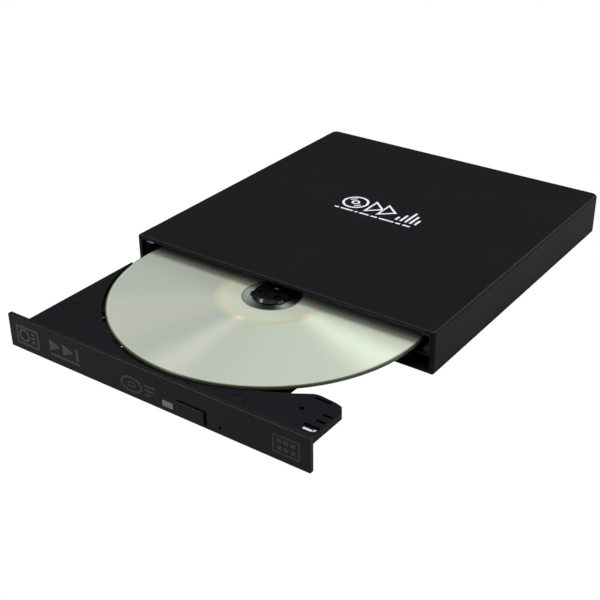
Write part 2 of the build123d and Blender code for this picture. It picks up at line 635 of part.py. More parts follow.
with BuildPart() as lead_screw:
    add(thread.rotate(Axis.Z, thread_start).moved(thread_place.location))
    with BuildPart(sled, mode=Mode.PRIVATE) as journals:
        rod_x((13.0, 64.0), screw_y, rod_z, journal)
    add(journals.part)
save(lead_screw, "lead_screw")

# ---- spindle motor ----
with BuildPart(hub) as spindle_base:
    post(0, 0, (4.25, frame_zs[0]), 14.8)
    post(0, 0, (frame_zs[0], 7.4), 3.2)
    post(0, 0, (frame_zs[0], 8), 1.05, mode=Mode.SUBTRACT)
save(spindle_base, "spindle_base")

with BuildPart(hub) as spindle_stator:
    post(0, 0, (5.0, 6.8), 5.0)
    for tooth in range(9):
        with BuildSketch(hub.offset(5.0)):
            with PolarLocations(7.0, 1, start_angle=40 * tooth):
                Rectangle(4.6, 1.6)
            with PolarLocations(9.6, 1, start_angle=40 * tooth):
                Rectangle(0.9, 5.0)
        extrude(amount=1.8)
    post(0, 0, (4, 8), 3.2, mode=Mode.SUBTRACT)
save(spindle_stator, "spindle_stator")

with BuildPart(hub) as spindle_shaft:
    post(0, 0, (4.7, 11.7), 1.0)
    chamfer(spindle_shaft.edges().group_by(Axis.Z)[-1], length=0.2)
save(spindle_shaft, "spindle_shaft")

with BuildPart() as spindle_rotor:
    turned(((1.0, 7.6), (11.3, 7.6), (11.3, 5.0), (12.3, 5.0), (12.3, 8.3), (9.0, 8.3), (9.0, 8.7),
            (15.8, 8.7), (15.8, 9.35), (1.0, 9.35)))
save(spindle_rotor, "spindle_rotor")

with BuildPart() as disc_pad:
    turned(((12.2, 9.35), (15.4, 9.35), (15.4, disc_bottom), (12.2, disc_bottom)))
save(disc_pad, "disc_pad")

hub_radius, cap_top = 7.35, 12.3
claw_count, claw_first = 3, 90
claw_slot, claw_width = 2.8, 2.4
claw_zs = (9.8, 11.8)

with BuildPart() as hub_cap:
    turned(((1.0, 9.35), (hub_radius, 9.35), (hub_radius, 11.3), (6.5, cap_top), (3.3, cap_top),
            (2.9, 11.9), (1.0, 11.9)))
    for claw in range(claw_count):
        angle = claw_first + claw * 360 / claw_count
        with BuildSketch(hub.offset(claw_zs[0] - 0.05)):
            with PolarLocations(6.0, 1, start_angle=angle):
                Rectangle(4.9, claw_slot)
        extrude(amount=4, mode=Mode.SUBTRACT)
save(hub_cap, "hub_cap")

for claw in range(claw_count):
    angle = radians(claw_first + claw * 360 / claw_count)
    outward = (cos(angle), sin(angle), 0)
    across = (-sin(angle), cos(angle), 0)
    with BuildPart() as chuck_claw:
        with BuildSketch(Plane(origin=hub.origin, x_dir=outward, z_dir=across)):
            with BuildLine():
                Polyline((4.6, -claw_zs[0]), (7.2, -claw_zs[0]), (7.2, -10.88), (7.95, -11.05),
                         (7.95, -11.25), (7.0, -claw_zs[1]), (4.6, -claw_zs[1]), close=True)
            make_face()
        extrude(amount=claw_width / 2, both=True)
    save(chuck_claw, f"chuck_claw_{claw + 1}")

with BuildPart() as optical_disc:
    edge, ridge = 0.15, disc_bottom - 0.22
    turned(((disc_hole, disc_bottom), (16.4, disc_bottom), (16.6, ridge), (17.2, ridge),
            (17.4, disc_bottom), (disc_radius - edge, disc_bottom), (disc_radius, disc_bottom + edge),
            (disc_radius, disc_top - edge), (disc_radius - edge, disc_top), (disc_hole, disc_top)))
save(optical_disc, "optical_disc")

# ---- optical pickup on its rods ----
pickup_xs = (lens_radius - 8.7, lens_radius + 8.7)
arm_zs = (4.6, 7.4)

with BuildPart(sled) as pickup_body:
    block(pickup_xs, (-12, 12), (arm_zs[0], 8.4))
    block(pickup_xs, (-17, -12), arm_zs)
    block(pickup_xs, (12, 17), arm_zs)
    chamfer(pickup_body.edges().filter_by(Axis.Z), length=0.6)
    rod_x((pickup_xs[0] - 1, pickup_xs[1] + 1), main_rod_y, rod_z, rod_radius + 0.05, mode=Mode.SUBTRACT)
    block((pickup_xs[0] - 1, pickup_xs[1] + 1), (13.9, 18), (rod_z - 1.06, rod_z + 1.06), mode=Mode.SUBTRACT)
    block((lens_radius - 6.2, lens_radius + 6.2), (-8, 8), (6.9, 9), mode=Mode.SUBTRACT)
save(pickup_body, "pickup_body")

with BuildPart(sled) as lens_actuator:
    block((lens_radius - 4.4, lens_radius + 4.4), (-5.2, 5.2), (7.3, 8.3))
    chamfer(lens_actuator.edges().filter_by(Axis.Z), length=0.5)
save(lens_actuator, "lens_actuator")

with BuildPart(sled) as objective_lens:
    post(lens_radius, 0, (8.3, 8.9), 1.9)
    fillet(objective_lens.edges().group_by(Axis.Z)[-1], radius=0.5)
save(objective_lens, "objective_lens")

with BuildPart(sled) as rack_follower:
    block((lens_radius - 3.5, lens_radius + 3.5), (-19.8, -14.2), (arm_zs[1], 7.65))
    post(lens_radius, screw_y, (6.95, arm_zs[1]), 0.12)
save(rack_follower, "rack_follower")
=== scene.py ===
"""Looks of the slim external optical drive: materials, printed marks, camera, floor and light.

Lengths are metres in the row frame: +X right, +Y back, +Z up, origin on the desk under the middle
of the whole footprint. MM turns millimetres into metres.
"""

import json
import math

import bmesh
import bpy
from mathutils import Matrix, Vector


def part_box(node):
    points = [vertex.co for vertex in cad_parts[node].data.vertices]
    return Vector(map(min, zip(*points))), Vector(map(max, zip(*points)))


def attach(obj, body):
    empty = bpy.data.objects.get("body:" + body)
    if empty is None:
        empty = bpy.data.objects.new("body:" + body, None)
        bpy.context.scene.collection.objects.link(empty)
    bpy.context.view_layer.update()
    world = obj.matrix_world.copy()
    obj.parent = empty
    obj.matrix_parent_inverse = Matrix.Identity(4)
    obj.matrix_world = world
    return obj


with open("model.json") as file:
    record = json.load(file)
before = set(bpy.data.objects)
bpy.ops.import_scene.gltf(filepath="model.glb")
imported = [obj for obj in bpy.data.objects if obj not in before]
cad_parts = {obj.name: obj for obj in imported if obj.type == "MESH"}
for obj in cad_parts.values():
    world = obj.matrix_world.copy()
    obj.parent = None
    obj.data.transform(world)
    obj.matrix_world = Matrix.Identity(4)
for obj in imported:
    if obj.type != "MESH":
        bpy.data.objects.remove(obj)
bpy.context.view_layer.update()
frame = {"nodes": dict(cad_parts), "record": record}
nodes = frame["nodes"]

MM = 0.001
GRAIN_STEP = 7.3  # shifts each material's noise so that it doesn't line up with the one before


# ---- shader helpers ----
def srgb(red, green, blue):
    """A colour as picked from a screen, 0 to 255, in the linear values that shaders use."""
    values = [c / 255 for c in (red, green, blue)]
    return [c / 12.92 if c <= 0.04045 else ((c + 0.055) / 1.055) ** 2.4 for c in values] + [1.0]


def add_node(tree, kind, inputs=None, **settings):
    """A node of a kind, with its sockets set to a value or linked from another socket."""
    made = tree.nodes.new(kind)
    for key, value in settings.items():
        setattr(made, key, value)
    for socket, value in (inputs or {}).items():
        if isinstance(value, bpy.types.NodeSocket):
            tree.links.new(value, made.inputs[socket])
        else:
            made.inputs[socket].default_value = value
    return made


class Finish:
    """One procedural material: a Principled shader and calls that add nodes in front of it."""

    count = 0

    def __init__(self, name, **settings):
        self.material = bpy.data.materials.new(name)
        self.material.use_nodes = True
        self.tree = self.material.node_tree
        self.shader = self.tree.nodes["Principled BSDF"]
        Finish.count += 1
        self.shift = GRAIN_STEP * Finish.count
        for socket, value in settings.items():
            self.shader.inputs[socket.replace("_", " ")].default_value = value

    def add(self, kind, inputs=None, **settings):
        """A node in this material."""
        return add_node(self.tree, kind, inputs, **settings)

    def maths(self, operation, first, second):
        """The result of a Math node."""
        return self.add("ShaderNodeMath", {0: first, 1: second}, operation=operation).outputs[0]

    def vector_maths(self, operation, first, second=None, result="Vector"):
        """The result of a Vector Math node, which has one input or two."""
        inputs = {0: first} if second is None else {0: first, 1: second}
        return self.add("ShaderNodeVectorMath", inputs, operation=operation).outputs[result]

    def feed(self, socket, source):
        """Link a node's socket into the shader."""
        self.tree.links.new(source, self.shader.inputs[socket])

    def own_place(self):
        """The piece's own coordinates, which stay with it when it moves."""
        return self.add("ShaderNodeTexCoord").outputs["Object"]

    def grain_place(self, stretch=(1, 1, 1)):
        """The same, shifted for this material and stretched along its grain."""
        settings = {"Vector": self.own_place(), "Location": (self.shift,) * 3, "Scale": stretch}
        return self.add("ShaderNodeMapping", settings).outputs["Vector"]

    def noise(self, size, detail=2.0, stretch=(1, 1, 1)):
        """Noise with features of a given size in metres."""
        settings = {"Vector": self.grain_place(stretch), "Scale": 1 / size, "Detail": detail}
        return self.add("ShaderNodeTexNoise", settings).outputs["Fac"]

    def spread(self, source, low, high, start=0.3, end=0.7):
        """A pattern's values from start to end, stretched to run from low to high."""
        ends = {"From Min": start, "From Max": end, "To Min": low, "To Max": high}
        return self.add("ShaderNodeMapRange", {"Value": source, **ends}).outputs["Result"]

    def blend(self, share, first, second):
        """A colour between two, by a 0 to 1 pattern."""
        inputs = {0: share, 6: first, 7: second}
        return self.add("ShaderNodeMix", inputs, data_type="RGBA").outputs[2]

    def relief(self, height, depth):
        """Raise the surface by a pattern, up to depth metres."""
        bump = self.add("ShaderNodeBump", {"Height": height, "Distance": depth, "Strength": 1.0})
        self.feed("Normal", bump.outputs["Normal"])


# ---- material families ----
ZINC_DARK, ZINC_LIGHT = srgb(158, 160, 163), srgb(192, 194, 197)
WHITE = (1, 1, 1, 1)


def moulded(name, dark, light, rough, grain, depth, cloud=18 * MM, **settings):
    """Moulded or lacquered plastic: cloudy colour, fine grain and a roughness that follows both."""
    made = Finish(name, **settings)
    broad = made.noise(cloud, 3.0)
    fine = made.noise(grain)
    tone = made.blend(made.spread(broad, 0.0, 0.7), dark, light)
    made.feed("Base Color", made.blend(made.spread(fine, 0.0, 0.35), tone, light))
    uneven = 0.03
    mottle = made.spread(broad, rough - uneven, rough + uneven)
    made.feed("Roughness", made.maths("ADD", mottle, made.spread(fine, -uneven, uneven)))
    made.relief(fine, depth)
    return made.material


def worked_metal(name, dark, light, rough, grain, stretch, depth):
    """Metal with a drawn, ground or cast grain; stretch draws the grain out along an axis."""
    made = Finish(name, Metallic=1.0)
    grain_lines = made.noise(grain, 4.0, stretch)
    broad = made.noise(14 * MM, 3.0)
    tone = made.blend(made.spread(grain_lines, 0.0, 1.0), dark, light)
    made.feed("Base Color", made.blend(made.spread(broad, 0.0, 0.4), tone, dark))
    made.feed("Roughness", made.spread(grain_lines, rough - 0.08, rough + 0.1))
    made.relief(grain_lines, depth)
    return made.material


def galvanised_sheet(name):
    """Zinc-coated sheet: faint crystal spangle over a satin metal."""
    made = Finish(name, Metallic=1.0)
    crystal = {"Vector": made.grain_place(), "Scale": 1 / (2.6 * MM)}
    cells = made.add("ShaderNodeTexVoronoi", crystal).outputs["Color"]
    spangle = made.add("ShaderNodeSeparateColor", {"Color": cells}).outputs["Red"]
    made.feed("Base Color", made.blend(spangle, ZINC_DARK, ZINC_LIGHT))
    made.feed("Roughness", made.spread(spangle, 0.26, 0.4, 0.0, 1.0))
    made.relief(made.noise(0.5 * MM), 3e-6)
    return made.material


def mouth_shade_sheet(name, node, depth, bare=None):
    """Zinc-coated sheet, painted near-black as shade on the stretch that shows in the mouth of the
    case.

    The painted shade ends depth behind the node's front. bare is an edge that stays bright: a test
    of x (LESS_THAN or GREATER_THAN), the x that it is held against, and the z that the edge is
    above.
    """
    made = Finish(name)
    low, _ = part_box(node)
    place = made.add("ShaderNodeSeparateXYZ", {0: made.own_place()}).outputs
    metal = made.maths("GREATER_THAN", place["Y"], low.y + depth)
    if bare:
        side, bare_x, bare_z = bare
        beside = made.maths(side, place["X"], bare_x)
        above = made.maths("GREATER_THAN", place["Z"], bare_z)
        metal = made.maths("MAXIMUM", metal, made.maths("MULTIPLY", beside, above))
    fine = made.noise(0.3 * MM)
    mottle = made.spread(fine, 0.0, 1.0)
    # Painted shade: near-black where the mouth of the case is in shade
    painted_shade = made.blend(mottle, srgb(12, 12, 13), srgb(18, 18, 19))
    made.feed("Base Color", made.blend(metal, painted_shade, made.blend(mottle, ZINC_DARK, ZINC_LIGHT)))
    made.feed("Metallic", metal)
    made.feed("Roughness", made.spread(fine, 0.38, 0.46))
    made.relief(fine, 4e-6)
    return made.material


def solder_mask(name):
    """Green board: copper tracks show as raised, lighter lines under a glossy mask."""
    made = Finish(name, Coat_Weight=0.6, Coat_Roughness=0.12)
    layout = {"Scale": 260.0, "Mortar Size": 0.018, "Brick Width": 0.9, "Row Height": 0.16}
    layout["Vector"] = made.grain_place()
    tracks = made.add("ShaderNodeTexBrick", layout, offset=0.37, squash=0.6).outputs["Fac"]
    fibre = made.noise(0.4 * MM)
    mask = made.blend(made.spread(fibre, 0.0, 1.0), srgb(12, 62, 34), srgb(18, 78, 44))
    made.feed("Base Color", made.blend(tracks, mask, srgb(38, 116, 66)))
    made.feed("Roughness", made.spread(fibre, 0.28, 0.38))
    made.relief(tracks, 18e-6)
    return made.material


def ink_and_painted_highlight(name, colour, worn):
    """Pad-printed ink, also used for one painted highlight: nearly even, slightly thin in places.
    """
    made = Finish(name)
    thin = made.noise(0.7 * MM, 3.0)
    made.feed("Base Color", made.blend(made.spread(thin, 0.0, 0.6, 0.5, 0.8), colour, worn))
    made.feed("Roughness", made.spread(thin, 0.45, 0.58))
    made.relief(thin, 2e-6)
    return made.material


def optical_disc_finish(name):
    """Polycarbonate over a mirror layer: ringed zones about the hub, and soft fans of sheen, glints
    and hub light and shade painted into its colour.
    """
    made = Finish(name, Anisotropic=0.8, IOR=1.45)
    low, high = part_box("optical_disc")
    centre = (low + high) / 2
    radius = (high.x - low.x) / 2
    from_hub = made.vector_maths("SUBTRACT", made.own_place(), centre)
    flat = made.vector_maths("MULTIPLY", from_hub, (1, 1, 0))
    share = made.maths("DIVIDE", made.vector_maths("LENGTH", flat, result="Value"), radius)
    heading = made.vector_maths("NORMALIZE", flat)

    def rings(*stops):
        """A ramp over the radius, from pairs of a share of the radius and a colour or grey."""
        ramp = made.add("ShaderNodeValToRGB", {"Fac": share})
        bands = ramp.color_ramp.elements
        while len(bands) < len(stops):
            bands.new(1.0)
        for band, (at, value) in zip(bands, stops):
            band.position = at
            band.color = value if isinstance(value, list) else (value, value, value, 1.0)
        return ramp.outputs["Color"]

    def painted_light_fan(degrees, narrowness):
        """Painted light (sheen, glints, reflection) that runs out from the hub at an angle from +X
        and fades to both sides.
        """
        out = (math.cos(math.radians(degrees)), math.sin(math.radians(degrees)), 0)
        along = made.vector_maths("DOT_PRODUCT", heading, out, "Value")
        return made.maths("POWER", made.maths("MAXIMUM", along, 0.0), narrowness)

    bright_painted_sheen, faint_painted_sheen = -13, -90
    # Painted sheen: streaks by heading and fans that brighten the mirror's colour where the lamps'
    # highlights fall
    painted_streaks = made.add("ShaderNodeTexNoise", {"Vector": heading, "Scale": 1.4, "Detail": 1.0})
    painted_streaks = made.spread(painted_streaks.outputs["Fac"], 0.0, 1.0)
    mirror_and_painted_sheen = made.blend(painted_streaks, srgb(174, 181, 171), srgb(186, 188, 170))
    mirror_and_painted_sheen = made.blend(painted_light_fan(-40, 3), mirror_and_painted_sheen, srgb(196, 203, 188))
    mirror_and_painted_sheen = made.blend(painted_light_fan(bright_painted_sheen, 50), mirror_and_painted_sheen, srgb(232, 242, 220))
    mirror_and_painted_sheen = made.blend(painted_light_fan(faint_painted_sheen, 90), mirror_and_painted_sheen, srgb(200, 204, 190))

    # Painted glints: orange highlights on the tinted ring, in line with the two painted sheen fans
    painted_glint = srgb(240, 214, 190)
    tinted_ring_and_glints = made.blend(painted_light_fan(bright_painted_sheen, 90), srgb(196, 193, 164), painted_glint)
    tinted_ring_and_glints = made.blend(painted_light_fan(faint_painted_sheen, 200), tinted_ring_and_glints, painted_glint)
    # Painted reflection and shade on the clear lip: light towards the left, dark towards the right,
    # with a painted glint at the lower right
    lip_painted_light = made.blend(painted_light_fan(-160, 2), srgb(30, 36, 36), srgb(162, 174, 164))
    lip_painted_light = made.blend(painted_light_fan(-25, 30), lip_painted_light, srgb(158, 168, 162))
    step, moulding, edge = srgb(104, 116, 110), srgb(194, 199, 178), srgb(86, 92, 68)

    # From the hole out: lip, step, clear moulding with a tinted ring in it, mirror, clear edge
    clear = rings((0.174, step), (0.182, step), (0.19, moulding), (0.988, moulding), (0.993, edge))
    clear = made.blend(rings((0.174, 1.0), (0.18, 0.0)), clear, lip_painted_light)
    in_ring = rings((0.3, 0.0), (0.325, 1.0), (0.34, 1.0), (0.36, 0.0))
    clear = made.blend(in_ring, clear, tinted_ring_and_glints)
    in_mirror = rings((0.335, 0.0), (0.36, 1.0), (0.978, 1.0), (0.988, 0.0))
    made.feed("Base Color", made.blend(in_mirror, clear, mirror_and_painted_sheen))
    made.feed("Metallic", rings(
        (0.174, 0.2), (0.19, 0.08), (0.31, 0.08), (0.35, 0.16), (0.985, 0.16), (0.993, 0.0)))
    made.feed("Roughness", rings(
        (0.174, 0.08), (0.19, 0.3), (0.34, 0.34), (0.98, 0.36), (0.993, 0.15)))
    around = made.add("ShaderNodeTangent", direction_type="RADIAL", axis="Z").outputs["Tangent"]
    made.feed("Tangent", around)
    return made.material


def coated_lens(name):
    """Pickup lens: clear, with the faint blue of its coating towards the rim."""
    made = Finish(name, Transmission_Weight=0.85, IOR=1.5)
    facing = made.add("ShaderNodeLayerWeight", {"Blend": 0.35}).outputs["Facing"]
    made.feed("Base Color", made.blend(facing, srgb(196, 214, 238), srgb(120, 130, 220)))
    made.feed("Roughness", made.spread(made.noise(0.3 * MM), 0.02, 0.05))
    return made.material


def frosted_window(name):
    """Light pipe in the bezel: milky grey plastic that lets a little light in."""
    made = Finish(name, Subsurface_Weight=0.25, Subsurface_Scale=0.4 * MM, Coat_Weight=0.3)
    cloudy = made.noise(0.9 * MM, 3.0)
    made.feed("Base Color", made.blend(cloudy, srgb(124, 126, 129), srgb(146, 148, 151)))
    made.feed("Roughness", made.spread(cloudy, 0.3, 0.45))
    made.relief(cloudy, 6e-6)
    return made.material


def make_finishes():
    """One material for each of the record's material slots."""
    micron = 0.001 * MM
    # slot: name, dark and light colour, roughness, grain in mm, relief in microns, other settings
    plastics = {
        "shell_plastic": ("soft_touch_shell", (11, 11, 14), (17, 17, 21), 0.46, 0.22, 6,
                          {"cloud": 40 * MM, "IOR": 1.27}),
        "bezel_plastic": ("satin_bezel", (17, 17, 17), (24, 24, 24), 0.34, 0.25, 6, {"IOR": 1.3}),
        "tray_plastic": ("textured_tray", (14, 13, 17), (20, 19, 24), 0.42, 0.3, 10, {"IOR": 1.25}),
        "guide_plastic": ("guide_nylon", (30, 30, 31), (44, 44, 45), 0.42, 0.4, 6, {}),
        "chip_plastic": ("chip_epoxy", (22, 22, 23), (34, 34, 35), 0.58, 0.2, 8, {}),
        "connector_plastic": ("connector_body", (74, 70, 64), (92, 88, 80), 0.45, 0.35, 6, {}),
        "actuator_plastic": ("actuator_body", (36, 36, 38), (52, 52, 55), 0.4, 0.3, 5, {}),
        "hub_plastic": ("gloss_hub", (12, 13, 14), (20, 21, 22), 0.2, 0.5, 2,
                        {"Coat_Weight": 0.5, "Coat_Roughness": 0.05}),
        "foot_rubber": ("foot_rubber", (30, 30, 30), (42, 42, 42), 0.8, 0.35, 25, {}),
        "damper_rubber": ("damper_rubber", (24, 24, 25), (38, 38, 39), 0.75, 0.3, 20, {}),
        "led_body": ("led_epoxy", (206, 214, 190), (226, 232, 212), 0.2, 0.5, 2,
                     {"Coat_Weight": 0.5}),
    }
    # slot: name, dark and light colour, roughness, grain in mm and its stretch, relief in microns
    metals = {
        "screw_steel": ("zinc_screw", (150, 151, 154), (190, 191, 194), 0.34, 0.5, (1, 1, 6), 4),
        "solenoid_metal": ("stamped_can", (138, 138, 140), (176, 176, 178), 0.36, 0.8,
                           (8, 1, 1), 4),
        "cast_frame": ("die_cast_frame", (146, 147, 151), (172, 173, 177), 0.5, 0.45,
                       (1, 1, 1), 22),
        "ground_steel": ("ground_steel", (176, 177, 180), (206, 207, 210), 0.2, 0.6, (1, 1, 9), 4),
        "stator_iron": ("laminated_iron", (96, 90, 84), (132, 126, 118), 0.5, 0.3, (1, 1, 14), 4),
        "rotor_metal": ("anodised_rotor", (74, 74, 77), (104, 104, 108), 0.34, 0.5, (1, 1, 6), 4),
        "contact_gold": ("plated_contact", (196, 158, 84), (226, 190, 112), 0.25, 0.4,
                         (6, 1, 1), 4),
    }
    finishes = {}
    for slot, (name, dark, light, rough, grain, depth, settings) in plastics.items():
        finishes[slot] = moulded(
            name, srgb(*dark), srgb(*light), rough, grain * MM, depth * micron, **settings)
    finishes["light_window"] = frosted_window("frosted_window")
    finishes["circuit_board"] = solder_mask("solder_mask")
    finishes["sheet_steel"] = galvanised_sheet("galvanised_sheet")
    for slot, (name, dark, light, rough, grain, stretch, depth) in metals.items():
        finishes[slot] = worked_metal(
            name, srgb(*dark), srgb(*light), rough, grain * MM, stretch, depth * micron)
    finishes["disc_plastic"] = optical_disc_finish("recordable_disc")
    finishes["lens_glass"] = coated_lens("coated_lens")
    return finishes


def dress_nodes(finishes, own_finishes):
    """Give each CAD node the material of its slot in the record, or one of its own."""
    for entry in frame["record"]["subparts"]:
        slots = nodes[entry["node"]].data.materials
        slots.clear()
        slots.append(own_finishes.get(entry["node"]) or finishes[entry["material_slot"]])


# ---- printed marks, and one painted highlight: generic pictograms, drawn as thin raised strokes ----
PRINT_HEIGHT, PRINT_ROOT = 0.03 * MM, 0.02 * MM  # above and below the face that it is printed on
ROUND_STEPS = 40
ACROSS, BACK, UP, FRONT = (1, 0, 0), (0, 1, 0), (0, 0, 1), (0, -1, 0)


def arc(across, up, radius, start=0.0, end=360.0, flatten=1.0):
    """Points along an arc, in degrees from across towards up."""
    steps = max(6, int(ROUND_STEPS * abs(end - start) / 360))
    angles = [math.radians(start + (end - start) * i / steps) for i in range(steps + 1)]
    return [(across + radius * math.cos(a), up + radius * flatten * math.sin(a)) for a in angles]


def rectangle(left, right, low, high):
    """A rectangle's corners."""
    return [(left, low), (right, low), (right, high), (left, high)]


class Print:
    """A flat print on one face of a body, drawn in millimetres about the print's own centre."""

    def __init__(self, name, centre, across, up, out):
        self.name, self.centre = name, Vector(centre)
        self.axes = Vector(across), Vector(up), Vector(out)
        self.mesh = bmesh.new()

    def point(self, at, height):
        """A vertex at a place in the drawing, a height above the face."""
        across, up, out = self.axes
        place = self.centre + across * at[0] * MM + up * at[1] * MM + out * height
        return self.mesh.verts.new(place)

    def fill(self, outline):
        """A filled shape, as a thin closed slab."""
        root = [self.point(p, -PRINT_ROOT) for p in outline]
        face = [self.point(p, PRINT_HEIGHT) for p in outline]
        self.mesh.faces.new(face)
        self.mesh.faces.new(root[::-1])
        for i in range(len(outline)):
            j = (i + 1) % len(outline)
            self.mesh.faces.new((root[i], root[j], face[j], face[i]))

    def stroke(self, path, width, closed=False):
        """A line of even width along a path, as a thin closed slab with mitred corners."""
        if closed and math.dist(path[0], path[-1]) < 1e-6:
            path = path[:-1]
        count = len(path)
        sides = []
        for i, here in enumerate(path):
            before = path[i - 1] if closed or i > 0 else None
            after = path[(i + 1) % count] if closed or i < count - 1 else None
            ends = ((before, here), (here, after))
            runs = [(b[0] - a[0], b[1] - a[1]) for a, b in ends if a and b]
            normals = [Vector((-dy, dx)).normalized() for dx, dy in runs]
            middle = sum(normals, Vector((0, 0))).normalized()
            offset = middle * (width / 2 / max(0.5, middle.dot(normals[0])))
            sides.append([(here[0] + s * offset.x, here[1] + s * offset.y) for s in (1, -1)])
        heights = (-PRINT_ROOT, PRINT_HEIGHT)
        rows = [[self.point(p, height) for p in pair for height in heights] for pair in sides]
        for i in range(count if closed else count - 1):
            a, b = rows[i], rows[(i + 1) % count]
            for k, m in ((0, 2), (2, 3), (3, 1), (1, 0)):
                self.mesh.faces.new((a[k], a[m], b[m], b[k]))
        if not closed:
            for row in (rows[0], rows[-1]):
                self.mesh.faces.new((row[0], row[1], row[3], row[2]))

    def finish(self, body, slot, material):
        """Turn the drawing into a piece on a body."""
        bmesh.ops.recalc_face_normals(self.mesh, faces=self.mesh.faces)
        data = bpy.data.meshes.new(self.name)
        self.mesh.to_mesh(data)
        self.mesh.free()
        data.materials.append(material)
        piece = bpy.data.objects.new(self.name, data)
        bpy.context.scene.collection.objects.link(piece)
        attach(piece, body)


def print_lid_mark(ink):
    """White mark on the lid: a disc, a pair of arrows and level bars over a dashed rule."""
    low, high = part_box("case_top")
    behind_front = 70.9 * MM
    mark = Print("lid_mark", (0, low.y + behind_front, high.z), ACROSS, BACK, UP)
    line = 0.95
    disc_at, disc_up = -12.4, 2.0
    mark.stroke(arc(disc_at, disc_up, 5.1), line, closed=True)
    mark.stroke(arc(disc_at, disc_up, 1.4), 0.8, closed=True)
    for start in (110, 290):
        mark.stroke(arc(disc_at, disc_up, 3.3, start, start + 50), 0.7)
    for left in (-5.0, 1.0):
        mark.stroke([(left, -2.8), (left, 6.6), (left + 5.6, 1.9)], line, closed=True)
    bars_at, bar_pitch, bar_foot = 9.2, 2.2, -3.2
    for step, height in enumerate((3.2, 6.0, 9.6, 7.2, 4.4)):
        across = bars_at + bar_pitch * step
        mark.fill(rectangle(across, across + line, bar_foot, bar_foot + height))
    at = -17.6
    for dash in (2.0, 5.8, 1.2, 4.5, 2.9, 6.7, 2.2, 3.4):
        mark.fill(rectangle(at, at + dash, -6.2, -5.3))
        at += dash + line
    mark.finish("case", "shell_plastic", ink)


def print_bezel_marks(inks):
    """Grey pictograms along the bezel: a framed disc, arrows, a ring with bars and a grid."""
    low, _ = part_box("bezel")

    def start(name, across, up):
        return Print(name, (across * MM, low.y, up * MM), ACROSS, UP, FRONT)

    framed = start("bezel_mark_framed_disc", -54.4, 8.95)
    framed.stroke(rectangle(-5.1, 5.1, -3.3, 3.3), 0.7, closed=True)
    framed.stroke(arc(-1.6, 0.2, 2.2), 0.8, closed=True)
    for foot in (-1.8, -0.2, 1.4):
        framed.fill(rectangle(1.8, 3.6, foot, foot + 0.8))
    framed.finish("tray", "bezel_plastic", inks["bright"])

    arrows = start("bezel_mark_arrows", -36.7, 8.8)
    for left in (-6.8, -0.6):
        arrows.fill([(left, -1.2), (left + 5.2, 1.2), (left, 3.4)])
    arrows.fill(rectangle(5.6, 6.8, -1.2, 3.4))
    arrows.fill(rectangle(-6.8, 6.8, -2.9, -2.1))
    arrows.finish("tray", "bezel_plastic", inks["bright"])

    tinted_ring_and_glints = start("bezel_mark_ring", -3.6, 7.1)
    tinted_ring_and_glints.stroke(arc(-2.6, 0.6, 4.4, flatten=0.6), 0.8, closed=True)
    tinted_ring_and_glints.stroke(arc(-2.6, 0.6, 1.5, flatten=0.6), 0.6, closed=True)
    for step, reach in enumerate((5.0, 3.8, 2.6)):
        foot = 2.0 - 1.7 * step
        tinted_ring_and_glints.fill(rectangle(3.0, 3.0 + reach, foot, foot + 0.8))
    tinted_ring_and_glints.finish("tray", "bezel_plastic", inks["violet"])

    grid = start("bezel_mark_grid", 55.6, 8.9)
    grid.stroke(rectangle(-4.8, 4.8, -3.1, 3.1), 0.6, closed=True)
    for across in (-3.4, -0.9, 1.6):
        grid.fill(rectangle(across, across + 1.8, 0.5, 2.1))
        grid.fill(rectangle(across, across + 1.8, -2.1, -0.5))
    grid.finish("tray", "bezel_plastic", inks["faint"])


def paint_wing_highlight(ink):
    """Painted highlight: two short pale bars at the outer end of the tray's wing."""
    low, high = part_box("tray")
    raised_marks = 0.2 * MM  # on the tray's top, and so the highest part of its box
    mark = Print("wing_painted_highlight", (high.x, low.y, high.z - raised_marks), ACROSS, BACK, UP)
    mark.fill(rectangle(-5.3, -2.1, 7.0, 7.9))
    mark.fill([(-1.9, 7.2), (-1.2, 7.6), (-1.0, 8.5), (-1.7, 8.3)])
    mark.finish("tray", "tray_plastic", ink)


# ---- camera, floor and light ----
CAMERA_PLACE = (0.216458, -0.318513, 0.208753)
CAMERA_AZIMUTH, CAMERA_ELEVATION, CAMERA_ROLL = 35.792, 29.208, -0.568  # degrees
CAMERA_LENS = 67.68  # mm, on a sensor 36 mm wide


def make_camera():
    """The camera, turned by azimuth from the front, elevation above the desk and a small roll."""
    azimuth, elevation, roll = map(
        math.radians, (CAMERA_AZIMUTH, CAMERA_ELEVATION, CAMERA_ROLL))
    flat = math.cos(elevation)
    back = Vector((math.sin(azimuth) * flat, -math.cos(azimuth) * flat, math.sin(elevation)))
    level = Vector((math.cos(azimuth), math.sin(azimuth), 0))
    rise = back.cross(level)
    right = level * math.cos(roll) + rise * math.sin(roll)
    up = rise * math.cos(roll) - level * math.sin(roll)
    camera = bpy.data.objects.new("camera", bpy.data.cameras.new("camera"))
    camera.data.sensor_width = 36.0
    camera.data.lens = CAMERA_LENS
    camera.data.clip_start = 0.01
    turned = Matrix((right, up, back)).transposed().to_4x4()
    camera.matrix_world = Matrix.Translation(CAMERA_PLACE) @ turned
    bpy.context.scene.collection.objects.link(camera)
    bpy.context.scene.camera = camera


